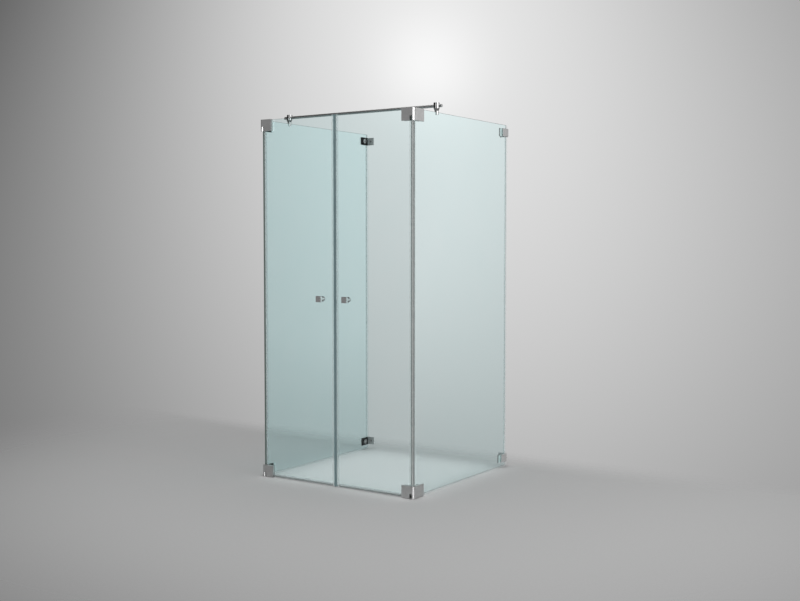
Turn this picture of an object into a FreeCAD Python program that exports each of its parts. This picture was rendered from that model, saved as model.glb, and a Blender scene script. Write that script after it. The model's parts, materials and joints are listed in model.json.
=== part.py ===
import FreeCAD, Part
import math
import os

# Shower enclosure against a wall: two fixed side panes, two hinged doors in front.
# Each clamped fitting is drawn in its pane's own frame and then placed:
# u runs along the pane, w goes inwards from the pane's outer face, z is up.
# The right-hand half is drawn, and the left-hand half is its mirror image.

# Panes
width = 1000.0              # over the outer faces of the two side panes
depth = 1000.0              # from the outer face of the doors to the wall
glass_top = 2000.0          # upper edge of all four panes above the floor
glass = 8.0                 # thickness of every pane
glass_arris = 0.7           # ground and polished corner of each pane edge
side_floor_gap = 10.0       # under the side panes, filled by the floor seals
door_floor_gap = 12.0       # under the door panes
wall_gap = 16.0             # behind the side panes, filled by the wall seals
glass_hole_radius = 7.0     # drilled holes for every clamped fitting

# Metal plates and the soft pads between metal and glass
plate = 6.0                 # clamp plates and wall brackets
plate_arris = 0.8           # bevel round the visible face of a plate
gasket = 1.0                # pads on both sides of the glass
gasket_inset = 0.5          # pads stop short of the plate's outline
collar_gap = 0.2            # from the corners of a pad's square collar to the hole in the glass
shank_side = 7.0            # square shank on the back of each outer piece
shank_gap = 0.1             # between a shank and what it passes through

# Corner hinges
hinge_height = 64.0
hinge_floor_gap = 2.0       # lowest hinge above the floor
hinge_top_rise = 2.0        # highest hinge above the upper edge of the glass
leaf_plate = 10.0           # thickness of the leaves
knuckle_radius = 9.0
fixed_knuckle_height = 24.0 # knuckle of the side leaf, which carries that of the door leaf
pin_radius = 4.0
pin_cover = 3.0             # metal left over each end of the pin's bore
pin_end_gap = 0.5
running_fit = 0.05          # radial, between pin and knuckles
pane_gap = 5.0              # from the knuckles to the edges of both panes
swing_gap = 0.5             # between the door's knuckle and the hollow in the side leaf
leaf_lip = 5.0              # side leaf's hollowed edge beside the door's knuckle, from the axis
door_leaf_length = 68.0     # from the hinge axis
side_leaf_length = 86.0     # from the hinge axis
notch_length = 18.0         # door leaf cut back from the axis beside the fixed knuckle
door_clamp_setback = 5.0    # clamp plate back from the hinge edge of the door pane
door_clamp_length = 42.0
side_clamp_setback = 1.0    # clamp plate back from the front edge of the side pane
side_clamp_length = 46.0
hinge_cap_radius = 11.0     # cap screw on the clamp plate
hinge_cap = 2.5

# Hexagon sockets of all cap screws
socket_radius = 2.9         # centre to corner
socket_depth = 1.2

# Wall brackets
bracket_height = 46.0
bracket_low_centre = 54.0   # above the floor
bracket_high_drop = 44.0    # below the upper edge of the glass
bracket_outer_leg = 62.0    # leg outside the glass, from the wall
bracket_wall_leg = 52.0     # leg on the wall, inwards from the pane's outer face
bracket_inner_length = 66.0 # plate inside the glass, from the rear edge of the glass
bracket_hole_setback = 32.0 # hole in the glass, from its rear edge
bracket_cap_radius = 15.0
bracket_cap = 3.0
wall_hole_radius = 2.75
wall_hole_inset = 19.0      # from the free end of the wall leg

# Door knobs
knob_from_centre = 86.0
knob_height = 1016.0
knob_side = 33.0            # square head
knob_head = 14.0            # thickness of the head
knob_neck_radius = 15.5
knob_neck = 24.0
knob_arris = 1.0
knob_cap_radius = 11.0      # flat cap screw inside the enclosure
knob_cap = 4.0

# Seals
seal_wall = 1.5             # thickness of the clip-on profiles
seal_grip = 12.0            # how far a profile reaches onto the glass
seal_play = 0.05            # between a profile and the glass in it
seal_end_gap = 1.0          # between a vertical seal and the hinges
bead_radius = 6.5           # round seal where the panes' middles meet
bead_web = 5.0
lip_gap = 0.3               # between the door's lip and the round seal
meeting_gap = 1.0           # between the two magnetic seals
meeting_depth = 8.0         # magnetic seal in front of the pane's free edge
magnet_width = 5.0
magnet_depth = 4.0
magnet_cover = 1.2          # profile wall in front of the magnet
sweep_grip = 8.0            # door bottom seal, up the glass
sweep_gap = 3.0             # door bottom seal above the floor
sweep_edge = 1.6            # width of its lower edge
wall_grip = 10.0            # wall seal, along the glass

# Support bar over the side panes
bar_radius = 8.0
bar_rise = 33.0             # axis above the upper edge of the glass
bar_setback = 228.0         # axis behind the outer face of the doors
bar_overhang = 30.0         # past the outer faces of the side panes
bar_fit = 0.05
clamp_radius = 16.0         # round body of each bar clamp
clamp_above = 17.0          # body above the bar's axis
clamp_below = 13.0          # body below the bar's axis
clamp_cone = 13.0           # taper from the body to the foot
clamp_foot_radius = 10.0
clamp_foot_drop = 13.0      # foot below the upper edge of the glass
liner = 0.5                 # soft strip between the foot and the glass

# One overrun for every cut, and the nearness that finds an edge in a plane
over = 2.0
near = 0.001

Vector = FreeCAD.Vector
X_AXIS = Vector(1, 0, 0)
Y_AXIS = Vector(0, 1, 0)
Z_AXIS = Vector(0, 0, 1)
ORIGIN = Vector(0, 0, 0)

half_width = width / 2
leaf_face = -gasket - leaf_plate            # outer face of the hinge leaves
axis_w = leaf_face + knuckle_radius         # hinge axis, from a pane's outer face
axis_x = half_width - axis_w                # hinge axis along a door
axis_u = axis_w                             # hinge axis along a side pane
door_hinge_edge = axis_x - knuckle_radius - pane_gap
door_free_edge = meeting_gap / 2 + meeting_depth
side_front_edge = axis_u + knuckle_radius + pane_gap
side_rear_edge = depth - wall_gap
inner_face = glass + gasket + plate         # inner side of the clamp plates
hinge_low = hinge_floor_gap
hinge_high = glass_top + hinge_top_rise - hinge_height
hinges = {"bottom": hinge_low, "top": hinge_high}
bracket_levels = {"bottom": bracket_low_centre, "top": glass_top - bracket_high_drop}
seal_low = hinge_low + hinge_height + seal_end_gap
seal_high = hinge_high - seal_end_gap
door_leaf_end = axis_x - door_leaf_length
side_leaf_end = axis_u + side_leaf_length
door_clamp_start = door_hinge_edge - door_clamp_setback
door_clamp_end = door_clamp_start - door_clamp_length
side_clamp_start = side_front_edge + side_clamp_setback
side_clamp_end = side_clamp_start + side_clamp_length
bracket_hole_u = side_rear_edge - bracket_hole_setback
knob_reach = gasket + knob_neck + knob_head
knob_place = (knob_from_centre, knob_height)
bar_clamp_x = half_width - glass / 2
bar_z = glass_top + bar_rise
bar_clamp_low = glass_top - clamp_foot_drop
slot_half = glass / 2 + liner
front_y = (knob_reach - depth) / 2          # outer face of the doors in the part's frame


def block(u0, u1, w0, w1, z0, z1):
    """A box between two corners, given in any order."""
    low = Vector(min(u0, u1), min(w0, w1), min(z0, z1))
    return Part.makeBox(abs(u1 - u0), abs(w1 - w0), abs(z1 - z0), low)


def prism(points, height, axis):
    """A closed outline pushed out along an axis."""
    outline = Part.makePolygon(points + points[:1])
    return Part.Face(outline).extrude(axis * height)


def hexagon(radius, start, axis, depth_in):
    """A hexagonal bar along an axis, for a screw's socket."""
    side = Z_AXIS.cross(axis) if abs(axis.z) < near else X_AXIS
    points = []
    for corner in range(6):
        turn = FreeCAD.Rotation(axis, 60 * corner)
        points.append(start + turn.multVec(side * radius))
    return prism(points, depth_in, axis)


def rim_edges(shape, axis, place):
    """The edges that lie wholly in one plane."""
    found = []
    for edge in shape.Edges:
        points = [edge.valueAt(edge.FirstParameter), edge.valueAt(edge.LastParameter)]
        points.append(edge.valueAt((edge.FirstParameter + edge.LastParameter) / 2))
        if all(abs(point.dot(axis) - place) < near for point in points):
            found.append(edge)
    return found


def bevel_face(shape, axis, place, size):
    """Bevels the outline of the flat face at a place along an axis."""
    return shape.makeChamfer(size, rim_edges(shape, axis, place))


def on_side(shape):
    """Places a shape drawn in a pane's frame on the right-hand side pane."""
    placed = shape.copy()
    placed.rotate(ORIGIN, Z_AXIS, 90)
    placed.translate(Vector(half_width, 0, 0))
    return placed


def pane(u0, u1, z0, holes):
    """A glass pane with polished edges and drilled holes at (u, z) places."""
    sheet = block(u0, u1, 0, glass, z0, glass_top)
    sheet = sheet.makeChamfer(glass_arris, sheet.Edges)
    for u, z in holes:
        drill = Part.makeCylinder(glass_hole_radius, glass + over * 2, Vector(u, -over, z), Y_AXIS)
        sheet = sheet.cut(drill)
    return sheet


def disc(u, z, w0, w1, radius):
    """A round piece or drill through a pane's frame, between two depths."""
    return Part.makeCylinder(radius, w1 - w0, Vector(u, w0, z), Y_AXIS)


def square_bar(place, w0, w1, half):
    """A square bar through a pane's frame, between two depths."""
    u, z = place
    return block(u - half, u + half, w0, w1, z - half, z + half)


def shank(place, end):
    """The square shank on the back of an outer piece, which a cap screw is turned into."""
    return square_bar(place, -gasket, end, shank_side / 2)


def shank_way(place):
    """The square way for a shank through the inner pieces, which keeps them from turning."""
    return square_bar(place, -gasket - over, inner_face + over, shank_side / 2 + shank_gap)


def clamp_plate(u0, u1, z0, z1, place):
    """A plate inside the glass with a bevelled face."""
    body = block(u0, u1, glass + gasket, inner_face, z0, z1)
    return bevel_face(body, Y_AXIS, inner_face, plate_arris).cut(shank_way(place))


def pad_pair(outer, inner, place):
    """Cuts the shank's way in two pads; the outer one gets a square collar in the glass."""
    collar_half = (glass_hole_radius - collar_gap) / math.sqrt(2)
    outer = outer.fuse(square_bar(place, -gasket, glass, collar_half))
    return [outer.cut(shank_way(place)), inner.cut(shank_way(place))]


def pad(u0, u1, w0, z0, z1):
    """A soft pad that stops just inside the outline of its plate."""
    u_low = min(u0, u1) + gasket_inset
    u_high = max(u0, u1) - gasket_inset
    return block(u_low, u_high, w0, w0 + gasket, z0 + gasket_inset, z1 - gasket_inset)


def pads(outer_span, inner_span, z0, z1, place):
    """The two soft pads of a clamped fitting, given the spans of its plates along the pane."""
    return pad_pair(pad(*outer_span, -gasket, z0, z1), pad(*inner_span, glass, z0, z1), place)


def cap_screw(u, z, face, thickness, radius):
    """A flat round cap with a hexagon socket, seated on the end of a shank."""
    top = face + thickness
    body = disc(u, z, face, top, radius)
    return body.cut(hexagon(socket_radius, Vector(u, top + over, z), -Y_AXIS, over + socket_depth))


def rolled_leaf(axis_place, way, length, z0, z1):
    """A plate that rolls into a round knuckle; way is the direction from the axis along u."""
    end = axis_place + way * length
    meet = math.sqrt(knuckle_radius ** 2 - (knuckle_radius - leaf_plate) ** 2)
    face_end = Vector(end, leaf_face, z0)
    crown = Vector(axis_place, leaf_face, z0)
    outer = Vector(axis_place - way * knuckle_radius, axis_w, z0)
    heel = Vector(axis_place + way * meet, -gasket, z0)
    back_end = Vector(end, -gasket, z0)
    edges = [Part.makeLine(face_end, crown), Part.Arc(crown, outer, heel).toShape()]
    edges += [Part.makeLine(heel, back_end), Part.makeLine(back_end, face_end)]
    return Part.Face(Part.Wire(edges)).extrude(Z_AXIS * (z1 - z0))


def pin_bore(axis_place, z0, z1):
    """The bore for the hinge pin."""
    return Part.makeCylinder(pin_radius + running_fit, z1 - z0, Vector(axis_place, axis_w, z0), Z_AXIS)


def fixed_leaf(z0, place):
    """The side leaf: a plate hollowed round the door's knuckle, with the lower knuckle and a shank."""
    z1 = z0 + hinge_height
    joint = z0 + fixed_knuckle_height
    body = block(axis_u + leaf_lip, side_leaf_end, leaf_face, -gasket, joint, z1)
    hollow = Vector(axis_u, axis_w, joint - over)
    body = body.cut(Part.makeCylinder(knuckle_radius + swing_gap, z1 - joint + over * 2, hollow, Z_AXIS))
    body = body.fuse(rolled_leaf(axis_u, 1, side_leaf_length, z0, joint)).removeSplitter()
    body = body.cut(pin_bore(axis_u, z0 + pin_cover, joint + over))
    return on_side(body.fuse(shank(place, inner_face)))


def door_leaf(z0, place):
    """The door leaf: a plate on the door pane with the upper knuckle over a notch, and a shank."""
    z1 = z0 + hinge_height
    joint = z0 + fixed_knuckle_height
    body = block(door_leaf_end, axis_x - notch_length, leaf_face, -gasket, z0, z1)
    body = body.fuse(rolled_leaf(axis_x, -1, door_leaf_length, joint, z1)).removeSplitter()
    body = body.cut(pin_bore(axis_x, joint - over, z1 - pin_cover))
    return body.fuse(shank(place, inner_face))


def hinge_pin(z0):
    """The pin that stands in the fixed knuckle and carries the door's knuckle."""
    low = z0 + pin_cover
    high = z0 + hinge_height - pin_cover - pin_end_gap
    return Part.makeCylinder(pin_radius, high - low, Vector(axis_x, axis_w, low), Z_AXIS)


def edge_clip(edge, way, grip, z0, z1):
    """A channel pushed onto the upright edge of a pane that lies on the way side of the edge."""
    body = block(edge - way * seal_wall, edge + way * grip, -seal_wall, glass + seal_wall, z0, z1)
    start = edge - way * seal_play
    end = edge + way * (grip + over)
    return body.cut(block(start, end, -seal_play, glass + seal_play, z0 - over, z1 + over))


def corner_seal():
    """The round seal between the hinges, clipped onto the front edge of the side pane."""
    middle = glass / 2
    body = edge_clip(side_front_edge, 1, seal_grip, seal_low, seal_high)
    web_low = (glass - bead_web) / 2
    web = block(middle, side_front_edge - seal_wall / 2, web_low, web_low + bead_web, seal_low, seal_high)
    bead = Part.makeCylinder(bead_radius, seal_high - seal_low, Vector(middle, middle, seal_low), Z_AXIS)
    return on_side(body.fuse([web, bead]).removeSplitter())


def hinge_edge_seal():
    """The seal on the hinge edge of a door, hollowed to follow the round seal."""
    middle = glass / 2
    corner = half_width - middle
    body = edge_clip(door_hinge_edge, -1, seal_grip, seal_low, seal_high)
    lip = block(door_hinge_edge + seal_wall / 2, corner, -seal_wall, middle, seal_low, seal_high)
    body = body.fuse(lip).removeSplitter()
    hollow = Vector(corner, middle, seal_low - over)
    tall = seal_high - seal_low + over * 2
    return body.cut(Part.makeCylinder(bead_radius + lip_gap, tall, hollow, Z_AXIS))


def magnet_strip():
    """The magnet inside the seal at the free edge of a door."""
    near_face = meeting_gap / 2 + magnet_cover
    low = (glass - magnet_width) / 2
    return block(near_face, near_face + magnet_depth, low, low + magnet_width, sweep_gap, glass_top)


def meeting_seal():
    """The magnetic seal on the free edge of a door."""
    body = edge_clip(door_free_edge, 1, seal_grip, sweep_gap, glass_top)
    head = block(meeting_gap / 2, door_free_edge - seal_wall / 2, 0, glass, sweep_gap, glass_top)
    return body.fuse(head).removeSplitter().cut(magnet_strip())


def door_sweep():
    """The seal under a door, from the magnetic seal to the hinge plates."""
    start = door_free_edge + seal_grip
    end = door_leaf_end - gasket_inset
    base = door_floor_gap - seal_wall
    shoulder = (base + sweep_gap) / 2
    middle = glass / 2
    channel = block(start, end, -seal_wall, glass + seal_wall, base, door_floor_gap + sweep_grip)
    floor = door_floor_gap - seal_play
    channel = channel.cut(block(start - over, end + over, -seal_play, glass + seal_play, floor, glass_top))
    outline = [
        Vector(start, 0, base + seal_wall / 2),
        Vector(start, glass, base + seal_wall / 2),
        Vector(start, glass, shoulder),
        Vector(start, middle + sweep_edge / 2, sweep_gap),
        Vector(start, middle - sweep_edge / 2, sweep_gap),
        Vector(start, 0, shoulder),
    ]
    return channel.fuse(prism(outline, end - start, X_AXIS)).removeSplitter()


def floor_seal():
    """The strip that a side pane stands on."""
    return on_side(block(side_front_edge, depth, 0, glass, 0, side_floor_gap))


def wall_seal():
    """The strip between a side pane and the wall, notched for the legs of the brackets on the wall."""
    half = bracket_height / 2
    low = bracket_levels["bottom"] + half + seal_end_gap
    high = bracket_levels["top"] - half - seal_end_gap
    body = block(side_rear_edge + seal_play, depth, 0, glass, side_floor_gap, glass_top)
    body = body.fuse(edge_clip(side_rear_edge, -1, wall_grip, low, high)).removeSplitter()
    for centre in bracket_levels.values():
        notch = block(depth - plate, depth + over, -over, glass + over, centre - half, centre + half)
        body = body.cut(notch)
    return on_side(body)


def bracket_angle(centre):
    """The angle of a wall bracket: a bevelled leg outside the glass and a leg behind it on the wall."""
    z0 = centre - bracket_height / 2
    z1 = centre + bracket_height / 2
    face = -gasket - plate
    leg = block(depth - bracket_outer_leg, depth, face, -gasket, z0, z1)
    foot = block(depth - plate, depth, face, bracket_wall_leg, z0, z1)
    body = bevel_face(leg.fuse(foot).removeSplitter(), Y_AXIS, face, plate_arris)
    drill = Vector(depth + over, bracket_wall_leg - wall_hole_inset, centre)
    body = body.cut(Part.makeCylinder(wall_hole_radius, plate + over * 2, drill, -X_AXIS))
    return on_side(body.fuse(shank((bracket_hole_u, centre), inner_face)))


def bracket_plate(centre):
    """The plate of a wall bracket inside the glass, which ends with the glass."""
    z0 = centre - bracket_height / 2
    z1 = centre + bracket_height / 2
    start = side_rear_edge - bracket_inner_length
    return on_side(clamp_plate(start, side_rear_edge, z0, z1, (bracket_hole_u, centre)))


def bracket_pads(centre):
    """The pads of a wall bracket, which end with the glass."""
    z0 = centre - bracket_height / 2
    z1 = centre + bracket_height / 2
    outer_span = (depth - bracket_outer_leg, side_rear_edge)
    inner_span = (side_rear_edge - bracket_inner_length, side_rear_edge)
    return [on_side(piece) for piece in pads(outer_span, inner_span, z0, z1, (bracket_hole_u, centre))]


def knob():
    """A square knob on a round neck, with a shank through the door."""
    z0 = knob_height - knob_side / 2
    u0 = knob_from_centre - knob_side / 2
    head = block(u0, u0 + knob_side, -knob_reach, -knob_reach + knob_head, z0, z0 + knob_side)
    head = head.makeChamfer(knob_arris, head.Edges)
    neck = disc(*knob_place, -knob_reach + knob_head, -gasket, knob_neck_radius)
    return head.fuse([neck, shank(knob_place, glass + gasket)])


def knob_pads():
    """The square pads on both sides of the glass, hidden under the knob and its cap screw."""
    outer = square_bar(knob_place, -gasket, 0, (knob_neck_radius - gasket_inset) / math.sqrt(2))
    inner = square_bar(knob_place, glass, glass + gasket, (knob_cap_radius - gasket_inset) / math.sqrt(2))
    return pad_pair(outer, inner, knob_place)


def support_bar():
    """The round bar across the enclosure."""
    length = width + bar_overhang * 2
    return Part.makeCylinder(bar_radius, length, Vector(-length / 2, bar_setback, bar_z), X_AXIS)


def bar_clamp():
    """A turned clamp: a body round the bar, a taper, and a slotted foot on the glass."""
    body_low = bar_z - clamp_below
    cone_low = body_low - clamp_cone
    top = bar_z + clamp_above
    radii = [0, clamp_foot_radius, clamp_foot_radius, clamp_radius, clamp_radius, 0]
    levels = [bar_clamp_low, bar_clamp_low, cone_low, body_low, top, top]
    points = [Vector(bar_clamp_x + r, bar_setback, z) for r, z in zip(radii, levels)]
    outline = Part.makePolygon(points + points[:1])
    body = Part.Face(outline).revolve(Vector(bar_clamp_x, bar_setback, 0), Z_AXIS, 360)
    reach = clamp_radius + over
    bore = Vector(bar_clamp_x - reach, bar_setback, bar_z)
    body = body.cut(Part.makeCylinder(bar_radius + bar_fit, reach * 2, bore, X_AXIS))
    slot = block(bar_clamp_x - slot_half, bar_clamp_x + slot_half, bar_setback - reach, bar_setback + reach,
                 bar_clamp_low - over, glass_top + liner)
    return body.cut(slot)


def clamp_liner():
    """The soft strip folded over the glass, as long as the slot of a bar clamp allows."""
    reach = math.sqrt(clamp_foot_radius ** 2 - slot_half ** 2)
    front = bar_setback - reach
    back = bar_setback + reach
    body = block(bar_clamp_x - slot_half, bar_clamp_x + slot_half, front, back,
                 bar_clamp_low, glass_top + liner)
    return body.cut(block(bar_clamp_x - glass / 2, bar_clamp_x + glass / 2, front - over, back + over,
                          bar_clamp_low - over, glass_top))


def mirrored(shapes):
    """The left-hand copies of right-hand shapes."""
    return [shape.mirror(ORIGIN, X_AXIS) for shape in shapes]


def save(name, shapes):
    """Writes one sub-part, moved so that the origin is the middle of the footprint."""
    group = shapes[0] if len(shapes) == 1 else Part.makeCompound(shapes)
    placed = group.copy()
    placed.translate(Vector(0, front_y, 0))
    placed.exportStep("parts/" + name + ".step")


def save_pair(name, shapes):
    """Writes the left-hand and right-hand copies of a sub-part."""
    save("right_" + name, shapes)
    save("left_" + name, mirrored(shapes))


def both_sides(shapes):
    """Right-hand shapes with their left-hand copies."""
    return shapes + mirrored(shapes)


def main():
    os.makedirs("parts", exist_ok=True)
    door_holes = [knob_place]
    side_holes = []
    pins = []
    door_pads = knob_pads()
    side_pads = []
    door_caps = [cap_screw(*knob_place, glass + gasket, knob_cap, knob_cap_radius)]
    side_caps = []
    door_clamps = []
    side_clamps = []
    bracket_caps = []

    for level, z0 in hinges.items():
        z1 = z0 + hinge_height
        glass_z1 = min(z1, glass_top)
        on_door = ((door_clamp_end + door_clamp_start) / 2, z0 + hinge_height / 2)
        on_pane = ((side_clamp_start + side_clamp_end) / 2, z0 + hinge_height / 2)
        door_holes.append(on_door)
        side_holes.append(on_pane)
        save_pair(level + "_hinge_door_leaf", [door_leaf(z0, on_door)])
        save_pair(level + "_hinge_side_leaf", [fixed_leaf(z0, on_pane)])
        door_span = (door_clamp_end, door_clamp_start)
        pane_span = (side_clamp_start, side_clamp_end)
        door_clamps.append(clamp_plate(*door_span, z0, z1, on_door))
        side_clamps.append(on_side(clamp_plate(*pane_span, z0, z1, on_pane)))
        outer_span = (door_leaf_end, door_hinge_edge)
        door_pads += pads(outer_span, door_span, max(z0, door_floor_gap), glass_z1, on_door)
        outer_span = (side_front_edge, side_leaf_end)
        pane_pads = pads(outer_span, pane_span, max(z0, side_floor_gap), glass_z1, on_pane)
        side_pads += [on_side(piece) for piece in pane_pads]
        door_caps.append(cap_screw(*on_door, inner_face, hinge_cap, hinge_cap_radius))
        side_caps.append(on_side(cap_screw(*on_pane, inner_face, hinge_cap, hinge_cap_radius)))
        pins.append(hinge_pin(z0))

    for level, centre in bracket_levels.items():
        side_holes.append((bracket_hole_u, centre))
        save_pair(level + "_bracket_angle", [bracket_angle(centre)])
        save_pair(level + "_bracket_plate", [bracket_plate(centre)])
        side_pads += bracket_pads(centre)
        cap = cap_screw(bracket_hole_u, centre, inner_face, bracket_cap, bracket_cap_radius)
        bracket_caps.append(on_side(cap))

    save_pair("door_glass", [pane(door_free_edge, door_hinge_edge, door_floor_gap, door_holes)])
    save_pair("side_glass", [on_side(pane(side_front_edge, side_rear_edge, side_floor_gap, side_holes))])
    save_pair("door_clamp_plates", door_clamps)
    save_pair("side_clamp_plates", side_clamps)
    save_pair("door_pads", door_pads)
    save_pair("door_cap_screws", door_caps)
    save("side_pads", both_sides(side_pads))
    save("side_cap_screws", both_sides(side_caps))
    save("bracket_cap_screws", both_sides(bracket_caps))
    save("hinge_pins", both_sides(pins))
    save_pair("corner_seal", [corner_seal()])
    save_pair("hinge_edge_seal", [hinge_edge_seal()])
    save_pair("magnetic_seal", [meeting_seal()])
    save_pair("magnet_strip", [magnet_strip()])
    save_pair("door_bottom_seal", [door_sweep()])
    save_pair("floor_seal", [floor_seal()])
    save_pair("wall_seal", [wall_seal()])
    save_pair("knob", [knob()])
    save("support_bar", [support_bar()])
    save("bar_clamps", both_sides([bar_clamp()]))
    save("bar_clamp_liners", both_sides([clamp_liner()]))


main()
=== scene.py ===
import bpy
import bmesh
import json
import math
from mathutils import Matrix, Vector


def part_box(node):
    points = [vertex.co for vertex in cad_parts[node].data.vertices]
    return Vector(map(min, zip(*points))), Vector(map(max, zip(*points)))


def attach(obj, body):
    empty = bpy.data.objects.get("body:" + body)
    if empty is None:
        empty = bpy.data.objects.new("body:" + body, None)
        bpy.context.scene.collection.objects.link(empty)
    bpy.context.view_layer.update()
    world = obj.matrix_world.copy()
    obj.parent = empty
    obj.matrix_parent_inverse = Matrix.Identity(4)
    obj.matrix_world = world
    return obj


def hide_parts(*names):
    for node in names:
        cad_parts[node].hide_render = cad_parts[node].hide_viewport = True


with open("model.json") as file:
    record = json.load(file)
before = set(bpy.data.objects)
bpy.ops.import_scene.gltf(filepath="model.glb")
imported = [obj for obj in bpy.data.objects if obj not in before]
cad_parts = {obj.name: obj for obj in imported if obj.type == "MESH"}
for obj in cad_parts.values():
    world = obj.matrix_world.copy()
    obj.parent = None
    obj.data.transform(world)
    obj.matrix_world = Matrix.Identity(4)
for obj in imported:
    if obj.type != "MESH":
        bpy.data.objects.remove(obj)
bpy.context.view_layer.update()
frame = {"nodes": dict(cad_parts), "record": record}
scene = bpy.context.scene
nodes = frame["nodes"]

# Sizes of the pieces made here, in metres
wall_screw_radius = 0.0052
wall_screw_rise = 0.0026
wall_screw_inset = 0.019        # from the free end of the bracket's wall leg
wall_leg = 0.006                # thickness of the bracket's wall leg
grub_radius = 0.0026
grub_rise = 0.0003
grub_above_foot = 0.0065        # above the lower end of a bar clamp
foot_radius = 0.010             # of a bar clamp's foot
socket_share = 0.55             # width of a hexagon socket, corner to corner, over its screw
screw_sides = 48
pad_swell = 0.00005             # soft pads press this far into what they touch
outer_pad_side = 0.0005         # outer pads reach further than this past the panes' outer faces
seal_grip = 0.012               # clear clips of the upright seals, on the glass
sweep_grip = 0.008              # clear clips of the door bottom seals

# Rounded edges, in metres, by material slot and on the soft pads
rounded_edges = {
    "plate_metal": 0.0006,
    "knob_metal": 0.0009,
    "cap_metal": 0.0006,
    "black_plate": 0.0006,
    "bar_steel": 0.001,
}
pad_edge = 0.0003
sharp_turn = 35                 # edges that turn by more degrees than this are rounded

# Camera, fitted to the photograph: turns in radians, lens and sensor in millimetres
camera_place = Vector((3.5299, -5.1186, 1.3176))
camera_turn = 0.590875          # from +Y towards -X
camera_tilt = -0.05288
camera_lens = 48.92
camera_sensor = 36.0

# The surround is an even grey with glows: each has a direction, how sharply it gathers round that
# direction, and a strength, which is below zero where it darkens
surround = 0.28
glows = [
    ((-0.5323, 0.7922, 0.2984), 48.4, 0.287),       # bright patch, high behind the object
    ((-0.5366, 0.8357, 0.1172), 11.06, 0.768),      # its wide lower part
    ((-0.5288, 0.8341, 0.1572), 859.0, 0.14),       # its small bright middle
    ((-0.7018, 0.4806, 0.5257), 2.33, -0.60),       # shade above and to the left of it
    ((0.649, 0.721, 0.242), 18.0, 1.15),            # bright patch at the back right
    ((0.61, 0.79, -0.02), 150.0, 0.45),             # its lower end
]
mirrored_glows = [              # in reflections alone
    ((-0.98, -0.19, 0.05), 8.0, -0.30),             # shade on the left
    ((-0.557, -0.83, -0.03), 10.0, -0.16),          # shade that the doors mirror
    ((0.557, 0.83, -0.27), 150.0, -0.40),           # shade that the right pane mirrors, low down
]
backdrop_glows = [              # seen straight or through glass alone
    ((-0.98, -0.15, -0.10), 7.0, 0.30),             # light on the left
]
soft_light = 0.40               # the even light from all round

# Upright panels that the metal mirrors, all at one distance and height
panel_reach = 5.0
panel_height = 1.9
panel_size = (3.2, 3.5)

# The floor shows near the object and fades into the surround, sooner behind the object
floor_near = 1.2
floor_far = 3.5
floor_back_near = 0.45
floor_back_far = 0.95
floor_sides = 96

noise_range = (0.3, 0.7)        # nearly all of a noise value lies between these


def grey(level):
    """A neutral colour."""
    return level, level, level


def new_material(name):
    """A node material with its shader and its output."""
    material = bpy.data.materials.new(name)
    material.use_nodes = True
    tree = material.node_tree
    tree.nodes.clear()
    output = tree.nodes.new("ShaderNodeOutputMaterial")
    shader = tree.nodes.new("ShaderNodeBsdfPrincipled")
    tree.links.new(shader.outputs["BSDF"], output.inputs["Surface"])
    return material, tree, shader, output


def noise(tree, scale, detail=3.0, stretch=(1.0, 1.0, 1.0)):
    """A noise value over the object's own coordinates, stretched along an axis where asked."""
    place = tree.nodes.new("ShaderNodeTexCoord")
    mapping = tree.nodes.new("ShaderNodeMapping")
    mapping.inputs["Scale"].default_value = stretch
    texture = tree.nodes.new("ShaderNodeTexNoise")
    texture.inputs["Scale"].default_value = scale
    texture.inputs["Detail"].default_value = detail
    tree.links.new(place.outputs["Object"], mapping.inputs["Vector"])
    tree.links.new(mapping.outputs["Vector"], texture.inputs["Vector"])
    return texture.outputs["Fac"]


def spread(tree, value, low, high):
    """Turns a noise value into a range of numbers."""
    ranged = tree.nodes.new("ShaderNodeMapRange")
    ranged.inputs["From Min"].default_value = noise_range[0]
    ranged.inputs["From Max"].default_value = noise_range[1]
    ranged.inputs["To Min"].default_value = low
    ranged.inputs["To Max"].default_value = high
    tree.links.new(value, ranged.inputs["Value"])
    return ranged.outputs["Result"]


def spread_round(tree, value, level, share):
    """Turns a noise value into numbers round a level, up to a share of it below and above."""
    return spread(tree, value, level * (1 - share), level * (1 + share))


def between(tree, value, first, second):
    """A colour between two, by a noise value."""
    ramp = tree.nodes.new("ShaderNodeValToRGB")
    for element, position, colour in zip(ramp.color_ramp.elements, noise_range, (first, second)):
        element.position = position
        element.color = (*colour, 1.0)
    tree.links.new(value, ramp.inputs["Fac"])
    return ramp.outputs["Color"]


def edge_mask(tree, width):
    """A mask that is 1 along the edges of the mesh and 0 on its faces."""
    bevel = tree.nodes.new("ShaderNodeBevel")
    bevel.samples = 4
    bevel.inputs["Radius"].default_value = width
    geometry = tree.nodes.new("ShaderNodeNewGeometry")
    product = tree.nodes.new("ShaderNodeVectorMath")
    product.operation = "DOT_PRODUCT"
    tree.links.new(bevel.outputs["Normal"], product.inputs[0])
    tree.links.new(geometry.outputs["Normal"], product.inputs[1])
    mask = tree.nodes.new("ShaderNodeMapRange")         # of the cosine between the two normals
    mask.inputs["From Min"].default_value = 0.98
    mask.inputs["From Max"].default_value = 0.86
    tree.links.new(product.outputs["Value"], mask.inputs["Value"])
    return mask.outputs["Result"]


def blended(tree, share, first, second):
    """Mixes two colours or two numbers, each linked or fixed, by a linked share."""
    mix = tree.nodes.new("ShaderNodeMix")
    colours = not isinstance(first, float)
    mix.data_type = "RGBA" if colours else "FLOAT"
    sockets = [socket for socket in mix.inputs if socket.enabled]
    tree.links.new(share, sockets[0])
    for socket, value in zip(sockets[1:], (first, second)):
        if isinstance(value, bpy.types.NodeSocket):
            tree.links.new(value, socket)
        elif colours:
            socket.default_value = (*value, 1.0)
        else:
            socket.default_value = value
    return [socket for socket in mix.outputs if socket.enabled][0]


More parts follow.
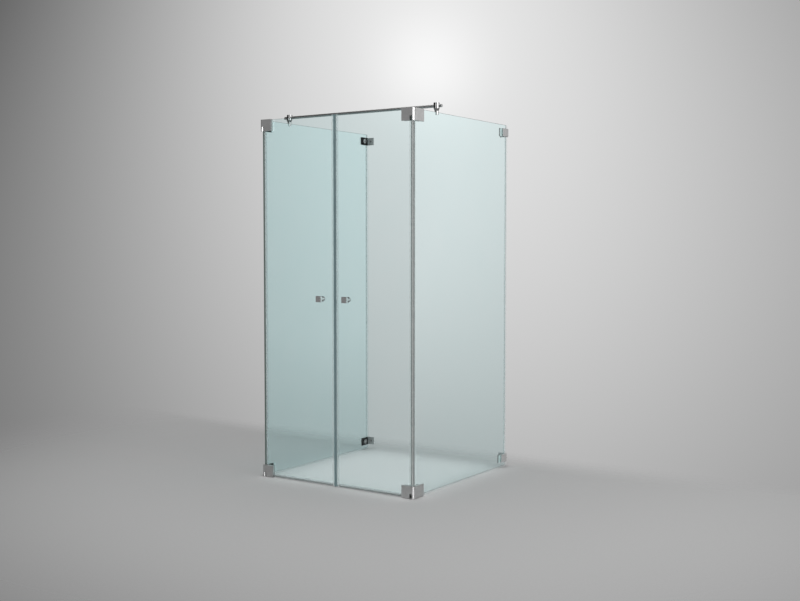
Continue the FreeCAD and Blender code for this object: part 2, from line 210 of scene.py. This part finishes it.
def mixed_surface(tree, share, first, second, output):
    """Puts a mix of two shaders on a material's or the world's surface, by a linked share."""
    mix = tree.nodes.new("ShaderNodeMixShader")
    tree.links.new(share, mix.inputs["Fac"])
    tree.links.new(first.outputs[0], mix.inputs[1])
    tree.links.new(second.outputs[0], mix.inputs[2])
    tree.links.new(mix.outputs["Shader"], output.inputs["Surface"])


def arithmetic(tree, operation, first, second=0.0):
    """One step of arithmetic on linked values or numbers."""
    step = tree.nodes.new("ShaderNodeMath")
    step.operation = operation
    for socket, value in zip(step.inputs, (first, second)):
        if isinstance(value, bpy.types.NodeSocket):
            tree.links.new(value, socket)
        else:
            socket.default_value = value
    return step.outputs["Value"]


def bumped(tree, shader, value, height, strength):
    """Puts a value's relief on a shader."""
    bump = tree.nodes.new("ShaderNodeBump")
    bump.inputs["Distance"].default_value = height
    bump.inputs["Strength"].default_value = strength
    tree.links.new(value, bump.inputs["Height"])
    tree.links.new(bump.outputs["Normal"], shader.inputs["Normal"])


def polished_metal(name, dark, light, rough, metallic=1.0):
    """Polished plated metal: faint clouding, fine upright wiping marks and brighter edges."""
    edge_grey = grey(0.62)
    material, tree, shader, _ = new_material(name)
    shader.inputs["Metallic"].default_value = metallic
    shader.inputs["Anisotropic"].default_value = 0.75
    upright = tree.nodes.new("ShaderNodeCombineXYZ")
    upright.inputs["Z"].default_value = 1.0
    tree.links.new(upright.outputs["Vector"], shader.inputs["Tangent"])
    clouds = noise(tree, 35.0)
    wiped = noise(tree, 900.0, detail=2.0, stretch=(1.0, 1.0, 0.12))
    colour = between(tree, clouds, grey(dark), grey(light))
    # A lighter grey along the edges
    colour = blended(tree, edge_mask(tree, width=0.0007), colour, edge_grey)
    tree.links.new(colour, shader.inputs["Base Color"])
    tree.links.new(spread(tree, wiped, rough * 0.8, rough * 1.25), shader.inputs["Roughness"])
    bumped(tree, shader, wiped, height=0.00001, strength=0.4)
    return material


def brushed_steel(name, dark, light, stretch):
    """Steel brushed along one axis."""
    material, tree, shader, _ = new_material(name)
    shader.inputs["Metallic"].default_value = 1.0
    lines = noise(tree, 1500.0, stretch=stretch)
    tree.links.new(between(tree, lines, grey(dark), grey(light)), shader.inputs["Base Color"])
    tree.links.new(spread_round(tree, lines, 0.3, 0.2), shader.inputs["Roughness"])
    bumped(tree, shader, lines, height=0.00002, strength=0.5)
    return material


def coated_metal(name, dark, light, edge_grey, rough):
    """Satin coated metal with faint clouding and edges a little lighter."""
    material, tree, shader, _ = new_material(name)
    shader.inputs["Specular IOR Level"].default_value = 0.02
    clouds = noise(tree, 60.0)
    grains = noise(tree, 2500.0, detail=2.0)
    colour = between(tree, clouds, grey(dark), grey(light))
    # A lighter grey along the edges
    colour = blended(tree, edge_mask(tree, width=0.0005), colour, grey(edge_grey))
    tree.links.new(colour, shader.inputs["Base Color"])
    tree.links.new(spread_round(tree, grains, rough, 0.2), shader.inputs["Roughness"])
    bumped(tree, shader, grains, height=0.00001, strength=0.5)
    return material


def drawn_lines(tree):
    """Faint upright lines, as on plastic that was drawn through a die."""
    return noise(tree, 700.0, detail=2.0, stretch=(1.0, 1.0, 0.02))


def soft_plastic(name, dark, light, rough):
    """Satin soft plastic with faint upright lines."""
    material, tree, shader, _ = new_material(name)
    drawn = drawn_lines(tree)
    patches = noise(tree, 14.0)
    tree.links.new(between(tree, patches, dark, light), shader.inputs["Base Color"])
    tree.links.new(spread_round(tree, drawn, rough, 0.15), shader.inputs["Roughness"])
    bumped(tree, shader, drawn, height=0.00003, strength=0.5)
    return material


def seal_plastic(name, dark, light, alpha, axis, limit, beyond=False):
    """Soft plastic in two colours: a grey core on one side of a plane, and clear clips on the other."""
    clip_alpha = 0.15
    clip_colours = (0.70, 0.80, 0.80), (0.80, 0.88, 0.88)
    material, tree, shader, _ = new_material(name)
    place = tree.nodes.new("ShaderNodeTexCoord")
    split = tree.nodes.new("ShaderNodeSeparateXYZ")
    tree.links.new(place.outputs["Object"], split.inputs["Vector"])
    along = split.outputs[axis]
    if axis == "X":
        along = arithmetic(tree, "ABSOLUTE", along)
    core = arithmetic(tree, "GREATER_THAN" if beyond else "LESS_THAN", along, limit)
    drawn = drawn_lines(tree)
    patches = noise(tree, 14.0)
    core_colour = between(tree, patches, dark, light)
    clip_colour = between(tree, patches, *clip_colours)
    tree.links.new(blended(tree, core, clip_colour, core_colour), shader.inputs["Base Color"])
    tree.links.new(blended(tree, core, clip_alpha, alpha), shader.inputs["Alpha"])
    tree.links.new(spread(tree, drawn, 0.34, 0.46), shader.inputs["Roughness"])
    bumped(tree, shader, drawn, height=0.00003, strength=0.5)
    return material


def clear_plastic(name, dark, light, alpha):
    """Translucent soft plastic, a little milky."""
    material, tree, shader, _ = new_material(name)
    milky = noise(tree, 60.0)
    tree.links.new(between(tree, milky, dark, light), shader.inputs["Base Color"])
    tree.links.new(spread_round(tree, milky, alpha, 0.1), shader.inputs["Alpha"])
    tree.links.new(spread(tree, milky, 0.28, 0.42), shader.inputs["Roughness"])
    bumped(tree, shader, milky, height=0.00005, strength=0.3)
    return material


def let_light_through(tree, shader, output, tint):
    """Lets lamps shine straight through a transparent piece, tinted, onto what is behind it."""
    rays = tree.nodes.new("ShaderNodeLightPath")
    lighting = arithmetic(tree, "MAXIMUM", rays.outputs["Is Shadow Ray"], rays.outputs["Is Diffuse Ray"])
    clear = tree.nodes.new("ShaderNodeBsdfTransparent")
    clear.inputs["Color"].default_value = (*tint, 1.0)
    mixed_surface(tree, lighting, shader, clear, output)


def pane_glass(name):
    """Clear toughened glass: green-blue in its depth, with the faint haze of dried drops."""
    haze_colour = (0.985, 0.995, 0.995)
    depth_colour = (0.12, 0.86, 0.88)
    through_tint = (1.0, 0.952, 0.950)
    material, tree, shader, output = new_material(name)
    shader.inputs["Transmission Weight"].default_value = 1.0
    shader.inputs["IOR"].default_value = 1.5
    haze = noise(tree, 6.0, detail=4.0)
    specks = noise(tree, 260.0, detail=2.0)
    tree.links.new(between(tree, haze, haze_colour, grey(1.0)), shader.inputs["Base Color"])
    tree.links.new(spread(tree, specks, 0.0, 0.012), shader.inputs["Roughness"])
    bumped(tree, shader, haze, height=0.00002, strength=0.05)
    depth = tree.nodes.new("ShaderNodeVolumeAbsorption")
    depth.inputs["Color"].default_value = (*depth_colour, 1.0)
    depth.inputs["Density"].default_value = 17.0
    tree.links.new(depth.outputs["Volume"], output.inputs["Volume"])
    let_light_through(tree, shader, output, through_tint)
    return material


def metal_materials():
    """The metals, by name: their darkest and lightest grey and their finish."""
    return {
        "plate_metal": polished_metal("plate_metal", dark=0.50, light=0.56, rough=0.32),
        "bracket_metal": polished_metal("bracket_metal", dark=0.50, light=0.56, rough=0.40, metallic=0.5),
        "clamp_metal": polished_metal("clamp_metal", dark=0.38, light=0.44, rough=0.14),
        "knob_metal": polished_metal("knob_metal", dark=0.44, light=0.50, rough=0.20),
        "cap_metal": polished_metal("cap_metal", dark=0.42, light=0.48, rough=0.25),
        "bar_steel": brushed_steel("bar_steel", dark=0.50, light=0.60, stretch=(0.02, 1.0, 1.0)),
        "pin_steel": brushed_steel("pin_steel", dark=0.42, light=0.50, stretch=(1.0, 1.0, 0.05)),
        "black_plate": coated_metal("black_plate", dark=0.002, light=0.004, edge_grey=0.015, rough=0.5),
    }


def seal_materials():
    """One plastic for each kind of grey seal, and the corner seal twice, as a copy in painted shade on the
    left and a copy in painted light on the right: its core's colours and alpha, and where the core ends.
    """
    # Painted shade and painted light: the left corner seal is a darker, denser copy of the right one, as one
    # seal looks in shade and in light
    shaded_left_corner = (0.11, 0.17, 0.15), (0.14, 0.20, 0.18), 0.85
    lit_right_corner = (0.46, 0.50, 0.49), (0.52, 0.56, 0.55), 0.36
    hinge_edge = (0.28, 0.33, 0.32), (0.33, 0.38, 0.37), 0.38
    magnetic = (0.28, 0.41, 0.43), (0.32, 0.45, 0.47), 0.75
    door_bottom = (0.28, 0.31, 0.31), (0.33, 0.36, 0.36), 0.65
    corner_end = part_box("right_corner_seal")[1].y - seal_grip
    hinge_edge_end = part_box("right_hinge_edge_seal")[0].x + seal_grip
    magnetic_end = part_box("right_magnetic_seal")[1].x - seal_grip
    bottom_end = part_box("right_door_bottom_seal")[1].z - sweep_grip
    return {
        "left_corner_seal": seal_plastic("left_corner_seal", *shaded_left_corner, "Y", corner_end),
        "right_corner_seal": seal_plastic("right_corner_seal", *lit_right_corner, "Y", corner_end),
        "hinge_edge_seal": seal_plastic("hinge_edge_seal", *hinge_edge, "X", hinge_edge_end, beyond=True),
        "magnetic_seal": seal_plastic("magnetic_seal", *magnetic, "X", magnetic_end),
        "door_bottom_seal": seal_plastic("door_bottom_seal", *door_bottom, "Z", bottom_end),
    }


def make_materials():
    """The materials by name: the record's slots, and looks of their own for some nodes."""
    milky = (0.62, 0.74, 0.74), (0.72, 0.82, 0.82)
    white = (0.84, 0.86, 0.85), (0.90, 0.92, 0.91)
    brown = (0.06, 0.055, 0.05), (0.085, 0.08, 0.07)
    others = {
        "pane_glass": pane_glass("pane_glass"),
        "clear_seal": clear_plastic("clear_seal", *milky, alpha=0.15),
        "white_pad": soft_plastic("white_pad", *white, rough=0.45),
        "magnet_rubber": soft_plastic("magnet_rubber", *brown, rough=0.55),
    }
    return metal_materials() | seal_materials() | others


def round_edges(piece, width):
    """Rounds a piece's sharp edges."""
    bevel = piece.modifiers.new("rounded", "BEVEL")
    bevel.width = width
    bevel.segments = 2
    bevel.limit_method = "ANGLE"
    bevel.angle_limit = math.radians(sharp_turn)


def look(name, slot):
    """The name of the material that a CAD node gets."""
    # Each corner seal has its own material: the left one a copy in painted shade, the right one a copy in
    # painted light
    if name.endswith("_corner_seal"):
        return name
    if slot == "grey_seal":
        return name.split("_", 1)[1]        # the node's name without left or right
    if name == "bar_clamps":
        return "clamp_metal"
    if name.endswith("_bracket_angle"):
        return "bracket_metal"
    return slot


def dress_nodes(materials):
    """Gives every CAD node its material, and rounds the edges of the metal pieces."""
    slots = {part["node"]: part["material_slot"] for part in frame["record"]["subparts"]}
    for name, piece in nodes.items():
        slot = slots[name]
        piece.data.materials.clear()
        piece.data.materials.append(materials[look(name, slot)])
        if slot in rounded_edges:
            round_edges(piece, rounded_edges[slot])


def islands(mesh):
    """The separate solids of a mesh, each as a list of its corners' numbers."""
    links = {corner.index: [] for corner in mesh.vertices}
    for edge in mesh.edges:
        first, second = edge.vertices
        links[first].append(second)
        links[second].append(first)
    found = []
    seen = set()
    for start in links:
        if start in seen:
            continue
        group = []
        queue = [start]
        seen.add(start)
        while queue:
            corner = queue.pop()
            group.append(corner)
            for other in links[corner]:
                if other not in seen:
                    seen.add(other)
                    queue.append(other)
        found.append(group)
    return found


def soft_piece(name, node, chosen, body, slot, materials):
    """Some solids of a node as a soft piece that is pressed a hair into what it touches."""
    mesh = nodes[node].data.copy()
    mesh.name = name
    work = bmesh.new()
    work.from_mesh(mesh)
    unwanted = [corner for corner in work.verts if corner.index not in chosen]
    bmesh.ops.delete(work, geom=unwanted, context="VERTS")
    bmesh.ops.remove_doubles(work, verts=work.verts, dist=0.000001)
    bmesh.ops.recalc_face_normals(work, faces=work.faces)
    work.normal_update()
    moves = [(corner, corner.normal * corner.calc_shell_factor() * pad_swell) for corner in work.verts]
    for corner, move in moves:
        corner.co += move
    work.to_mesh(mesh)
    work.free()
    mesh.materials.clear()
    mesh.materials.append(materials[slot])
    piece = bpy.data.objects.new(name, mesh)
    scene.collection.objects.link(piece)
    round_edges(piece, pad_edge)
    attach(piece, body)
    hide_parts(node)


def soft_pads(materials):
    """The pads between metal and glass, dark outside the glass and white inside it, and the liners."""
    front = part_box("right_door_glass")[0].y
    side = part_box("right_side_glass")[1].x
    carriers = {"left_door_pads": "left_door", "right_door_pads": "right_door", "side_pads": "enclosure"}
    for node, body in carriers.items():
        mesh = nodes[node].data
        outer = set()
        inner = set()
        for group in islands(mesh):
            if node == "side_pads":
                reach = max(abs(mesh.vertices[corner].co.x) for corner in group) - side
            else:
                reach = front - min(mesh.vertices[corner].co.y for corner in group)
            (outer if reach > outer_pad_side else inner).update(group)
        soft_piece(node + "_outer", node, outer, body, "magnet_rubber", materials)
        soft_piece(node + "_inner", node, inner, body, "white_pad", materials)
    liners = "bar_clamp_liners"
    everything = set(range(len(nodes[liners].data.vertices)))
    soft_piece(liners + "_soft", liners, everything, "enclosure", "white_pad", materials)


def socket_head(name, radius, rise, place, direction, material):
    """A round screw end with a domed edge and a hexagon socket, standing on a surface."""
    dome = [(1.0, 0.0), (1.0, 0.6), (0.94, 0.88), (0.85, 1.0)]      # shares of the radius and the rise
    socket_floor = 0.15                                             # share of the rise
    rings = [([radius * out] * screw_sides, rise * up) for out, up in dome]
    hexagon = []
    for step in range(screw_sides):
        from_flat = math.radians((360 * step / screw_sides) % 60 - 30)
        hexagon.append(radius * socket_share * math.cos(math.radians(30)) / math.cos(from_flat))
    rings += [(hexagon, rise), (hexagon, rise * socket_floor)]
    work = bmesh.new()
    loops = []
    for reaches, height in rings:
        loop = []
        for step, reach in enumerate(reaches):
            angle = 2 * math.pi * step / screw_sides
            loop.append(work.verts.new((reach * math.cos(angle), reach * math.sin(angle), height)))
        loops.append(loop)
    for lower, upper in zip(loops, loops[1:]):
        for step in range(screw_sides):
            after = (step + 1) % screw_sides
            work.faces.new((lower[step], lower[after], upper[after], upper[step]))
    work.faces.new(loops[-1])
    work.faces.new(list(reversed(loops[0])))
    bmesh.ops.recalc_face_normals(work, faces=work.faces)
    mesh = bpy.data.meshes.new(name)
    work.to_mesh(mesh)
    work.free()
    mesh.materials.append(material)
    piece = bpy.data.objects.new(name, mesh)
    scene.collection.objects.link(piece)
    turn = Vector((0, 0, 1)).rotation_difference(direction).to_matrix().to_4x4()
    piece.matrix_world = Matrix.Translation(place) @ turn
    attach(piece, "enclosure")


def wall_screws(material):
    """The four screws that hold the brackets' legs on the wall."""
    outward = Vector((0, -1, 0))
    for side in ("left", "right"):
        for level in ("top", "bottom"):
            low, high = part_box(f"{side}_{level}_bracket_angle")
            x = low.x + wall_screw_inset if side == "right" else high.x - wall_screw_inset
            place = Vector((x, high.y - wall_leg, (low.z + high.z) / 2))
            name = f"{side}_{level}_wall_screw"
            socket_head(name, wall_screw_radius, wall_screw_rise, place, outward, material)


def clamp_screws(material):
    """The headless screws in the feet of the two bar clamps."""
    low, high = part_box("bar_clamps")
    glass_low, glass_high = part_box("right_side_glass")
    foot_face = (glass_low.x + glass_high.x) / 2 - foot_radius
    for side, name in ((1, "right_clamp_screw"), (-1, "left_clamp_screw")):
        place = Vector((side * foot_face, (low.y + high.y) / 2, low.z + grub_above_foot))
        socket_head(name, grub_radius, grub_rise, place, Vector((-side, 0, 0)), material)


def add_camera():
    """The camera at the photograph's viewing angle."""
    camera = bpy.data.cameras.new("camera")
    camera.lens = camera_lens
    camera.sensor_width = camera_sensor
    rig = bpy.data.objects.new("camera", camera)
    rig.location = camera_place
    rig.rotation_euler = (math.pi / 2 + camera_tilt, 0.0, camera_turn)
    scene.collection.objects.link(rig)
    scene.camera = rig


def glow(tree, direction, toward, sharpness, strength):
    """Brightness that gathers round one direction."""
    product = tree.nodes.new("ShaderNodeVectorMath")
    product.operation = "DOT_PRODUCT"
    tree.links.new(direction, product.inputs[0])
    product.inputs[1].default_value = Vector(toward).normalized()
    facing = arithmetic(tree, "MAXIMUM", product.outputs["Value"], 0.0)
    return arithmetic(tree, "MULTIPLY", arithmetic(tree, "POWER", facing, sharpness), strength)


def add_world():
    """A grey surround with soft glows, and an even soft light from it."""
    world = bpy.data.worlds.new("studio")
    scene.world = world
    world.use_nodes = True
    tree = world.node_tree
    tree.nodes.clear()
    output = tree.nodes.new("ShaderNodeOutputWorld")
    place = tree.nodes.new("ShaderNodeTexCoord")
    rays = tree.nodes.new("ShaderNodeLightPath")
    straight = arithmetic(tree, "MAXIMUM", rays.outputs["Is Camera Ray"], rays.outputs["Is Transmission Ray"])
    mirrored = arithmetic(tree, "SUBTRACT", 1.0, straight)
    seeing = arithmetic(tree, "MAXIMUM", straight, rays.outputs["Is Glossy Ray"])
    brightness = surround
    for group, share in ((glows, 1.0), (mirrored_glows, mirrored), (backdrop_glows, straight)):
        for toward, sharpness, strength in group:
            patch = glow(tree, place.outputs["Generated"], toward, sharpness, strength)
            brightness = arithmetic(tree, "ADD", arithmetic(tree, "MULTIPLY", patch, share), brightness)
    brightness = arithmetic(tree, "MAXIMUM", brightness, 0.0)
    brightness = arithmetic(tree, "MINIMUM", brightness, 1.0)
    seen = tree.nodes.new("ShaderNodeBackground")
    seen.inputs["Color"].default_value = (1.0, 1.0, 1.0, 1.0)
    tree.links.new(brightness, seen.inputs["Strength"])
    light = tree.nodes.new("ShaderNodeBackground")
    light.inputs["Color"].default_value = (1.0, 1.0, 1.0, 1.0)
    light.inputs["Strength"].default_value = soft_light
    mixed_surface(tree, seeing, light, seen, output)


def faded(tree, value, start, end):
    """A soft step from 0 to 1 between two values."""
    fade = tree.nodes.new("ShaderNodeMapRange")
    fade.inputs["From Min"].default_value = start
    fade.inputs["From Max"].default_value = end
    fade.interpolation_type = "SMOOTHSTEP"
    tree.links.new(value, fade.inputs["Value"])
    return fade.outputs["Result"]


def floor_material():
    """A plain pale matt grey that fades out away from the object."""
    material, tree, shader, output = new_material("floor")
    shader.inputs["Specular IOR Level"].default_value = 0.1
    grain = noise(tree, 90.0)
    tree.links.new(between(tree, grain, grey(0.49), grey(0.51)), shader.inputs["Base Color"])
    tree.links.new(spread(tree, grain, 0.85, 0.95), shader.inputs["Roughness"])
    geometry = tree.nodes.new("ShaderNodeNewGeometry")
    length = tree.nodes.new("ShaderNodeVectorMath")
    length.operation = "LENGTH"
    tree.links.new(geometry.outputs["Position"], length.inputs[0])
    split = tree.nodes.new("ShaderNodeSeparateXYZ")
    tree.links.new(geometry.outputs["Position"], split.inputs["Vector"])
    around = faded(tree, length.outputs["Value"], floor_near, floor_far)
    behind = faded(tree, split.outputs["Y"], floor_back_near, floor_back_far)
    gone = tree.nodes.new("ShaderNodeBsdfTransparent")
    mixed_surface(tree, arithmetic(tree, "MAXIMUM", around, behind), shader, gone, output)
    return material


def add_floor():
    """A round floor under the object."""
    mesh = bpy.data.meshes.new("floor")
    work = bmesh.new()
    bmesh.ops.create_circle(work, cap_ends=True, segments=floor_sides, radius=floor_far)
    work.to_mesh(mesh)
    work.free()
    mesh.materials.append(floor_material())
    floor = bpy.data.objects.new("floor", mesh)
    scene.collection.objects.link(floor)
    return floor


def add_lamp(name, place, target, size, power, fan=180):
    """A soft rectangular lamp aimed at a point, with its light fanned over some degrees."""
    lamp = bpy.data.lights.new(name, "AREA")
    lamp.shape = "RECTANGLE"
    lamp.size, lamp.size_y = size
    lamp.energy = power
    lamp.spread = math.radians(fan)
    rig = bpy.data.objects.new(name, lamp)
    rig.location = place
    rig.rotation_euler = (Vector(target) - Vector(place)).to_track_quat("-Z", "Y").to_euler()
    rig.visible_camera = False
    scene.collection.objects.link(rig)
    return rig


def add_panel(name, turn, power):
    """An upright panel of light that faces the object, some degrees from its front towards its right."""
    across = panel_reach * math.sin(math.radians(turn))
    along = -panel_reach * math.cos(math.radians(turn))
    return add_lamp(name, (across, along, panel_height), (0.0, 0.0, panel_height), panel_size, power)


def shine_only_on(lamp, pieces):
    """Keeps a lamp's light to some pieces."""
    receivers = bpy.data.collections.new(lamp.name + "_receivers")
    for piece in pieces:
        receivers.objects.link(piece)
    lamp.light_linking.receiver_collection = receivers


def all_but(name, pieces):
    """A linking collection that stands for everything except some pieces."""
    others = bpy.data.collections.new(name)
    for piece in pieces:
        others.objects.link(piece)
    for member in others.collection_objects:
        member.light_linking.link_state = "EXCLUDE"
    return others


def nodes_ending(*endings):
    """The CAD nodes whose names have one of these endings."""
    return [piece for name, piece in nodes.items() if name.endswith(endings)]


def add_lamps(floor):
    """Three plain soft lamps, and others that light some pieces alone."""
    middle = (0.0, 0.0, 1.0)
    overhead = add_lamp("overhead", (0.3, -0.3, 5.5), middle, size=(4.0, 4.0), power=95.0)
    front = add_lamp("front", (1.0, -5.0, 1.8), middle, size=(3.0, 3.0), power=30.0)
    right = add_lamp("right", (5.0, -1.0, 1.8), middle, size=(3.0, 3.0), power=80.0)
    all_but_panes = all_but("all_but_the_panes", nodes_ending("_glass"))
    for lamp in (overhead, front, right):
        lamp.light_linking.receiver_collection = all_but_panes      # the panes don't mirror them
    overhead.light_linking.blocker_collection = all_but_panes       # the panes don't tint its light

    leaves = nodes_ending("_leaf")
    fittings = leaves + nodes_ending("_bracket_angle", "_knob", "_cap_screws")
    shine_only_on(add_panel("panel_front", turn=15, power=170.0), leaves)
    shine_only_on(add_panel("panel_right", turn=50, power=170.0), leaves)
    shine_only_on(add_panel("fill", turn=-34, power=11.0), fittings)
    shine_only_on(add_panel("fill_left", turn=-90, power=9.0), leaves)

    inside = add_lamp("inside", (0.0, 0.0, 0.3), (0.0, 0.0, 0.0), size=(0.98, 0.98), power=1.45, fan=80)
    shine_only_on(inside, [floor])
    inside.light_linking.blocker_collection = all_but_panes
    edge = add_lamp("edge", (3.0, 4.3, 1.2), (0.0, -0.5, 1.0), size=(3.0, 3.0), power=250.0)
    shine_only_on(edge, nodes_ending("_knob"))
    strip = add_lamp("strip", (4.67, -1.79, 2.4), (0.0, 0.0, 2.0), size=(1.0, 3.0), power=40.0)
    shine_only_on(strip, nodes_ending("bar_clamps"))


def main():
    materials = make_materials()
    dress_nodes(materials)
    soft_pads(materials)
    wall_screws(materials["cap_metal"])
    clamp_screws(materials["cap_metal"])
    add_camera()
    add_world()
    add_lamps(add_floor())
    scene.view_settings.view_transform = "Standard"


main()
